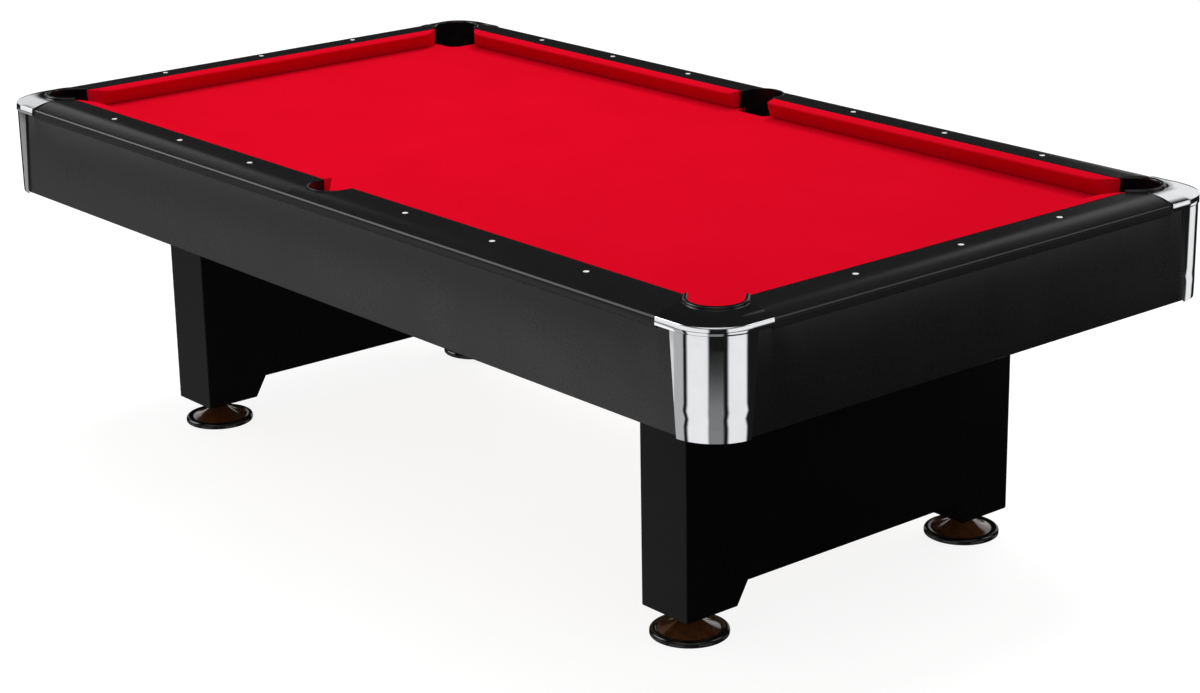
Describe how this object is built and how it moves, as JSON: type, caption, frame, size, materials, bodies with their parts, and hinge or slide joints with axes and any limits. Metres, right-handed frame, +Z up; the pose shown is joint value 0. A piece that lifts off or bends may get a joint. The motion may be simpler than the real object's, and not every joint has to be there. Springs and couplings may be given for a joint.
{
  "type": "pool table",
  "caption": "Pool table with drop pockets, a cloth-covered bed and cushions, chromed corners, and pedestal legs on height-adjustable feet.",
  "frame": {"origin": "on the floor, under the centre of the table", "axes": "+X along the table's length, +Y across it towards the back long rail, +Z up"},
  "size_m": [2.5032, 1.3856, 0.791],
  "materials": {
    "bed_cloth": "napped wool-blend cloth, stretched flat",
    "cushion_cloth": "the same cloth, wrapped over rubber",
    "rail_laminate": "satin black laminate on board",
    "apron_laminate": "matt black laminate with a fine grain",
    "chrome": "bright mirror plating",
    "pocket_rubber": "satin black moulded rubber",
    "board": "plain fibreboard",
    "timber": "planed softwood",
    "sight": "polished white",
    "foot": "high gloss, very dark brown"
  },
  "bodies": {
    "table": {"bed_board": "board", "bed_board_left": "board", "bed_board_right": "board", "bed_cloth": "bed_cloth", "rail_front": "rail_laminate", "apron_front": "apron_laminate", "rail_back": "rail_laminate", "apron_back": "apron_laminate", "rail_left": "rail_laminate", "apron_left": "apron_laminate", "rail_right": "rail_laminate", "apron_right": "apron_laminate", "cushion_front_left": "cushion_cloth", "cushion_front_right": "cushion_cloth", "cushion_back_left": "cushion_cloth", "cushion_back_right": "cushion_cloth", "cushion_left": "cushion_cloth", "cushion_right": "cushion_cloth", "corner_cap_front_left": "chrome", "apron_corner_front_left": "chrome", "pocket_front_left": "pocket_rubber", "corner_cap_front_right": "chrome", "apron_corner_front_right": "chrome", "pocket_front_right": "pocket_rubber", "corner_cap_back_left": "chrome", "apron_corner_back_left": "chrome", "pocket_back_left": "pocket_rubber", "corner_cap_back_right": "chrome", "apron_corner_back_right": "chrome", "pocket_back_right": "pocket_rubber", "pocket_side_front": "pocket_rubber", "stringer_front": "timber", "pocket_side_back": "pocket_rubber", "stringer_back": "timber", "sight_front_1": "sight", "sight_front_2": "sight", "sight_front_3": "sight", "sight_front_4": "sight", "sight_front_5": "sight", "sight_front_6": "sight", "sight_back_1": "sight", "sight_back_2": "sight", "sight_back_3": "sight", "sight_back_4": "sight", "sight_back_5": "sight", "sight_back_6": "sight", "sight_left_1": "sight", "sight_left_2": "sight", "sight_left_3": "sight", "cross_beam_left": "timber", "pedestal_left": "apron_laminate", "sight_right_1": "sight", "sight_right_2": "sight", "sight_right_3": "sight", "cross_beam_right": "timber", "pedestal_right": "apron_laminate"},
    "leveler_left_front": {"leveler_left_front": "foot"},
    "leveler_left_back": {"leveler_left_back": "foot"},
    "leveler_right_front": {"leveler_right_front": "foot"},
    "leveler_right_back": {"leveler_right_back": "foot"}
  },
  "joints": [
    {"name": "leveler_left_front_height", "type": "slide", "parent": "table", "child": "leveler_left_front", "axis": [0, 0, -1], "range_m": [-0.004, 0.02]},
    {"name": "leveler_left_back_height", "type": "slide", "parent": "table", "child": "leveler_left_back", "axis": [0, 0, -1], "range_m": [-0.004, 0.02]},
    {"name": "leveler_right_front_height", "type": "slide", "parent": "table", "child": "leveler_right_front", "axis": [0, 0, -1], "range_m": [-0.004, 0.02]},
    {"name": "leveler_right_back_height", "type": "slide", "parent": "table", "child": "leveler_right_back", "axis": [0, 0, -1], "range_m": [-0.004, 0.02]}
  ]
}
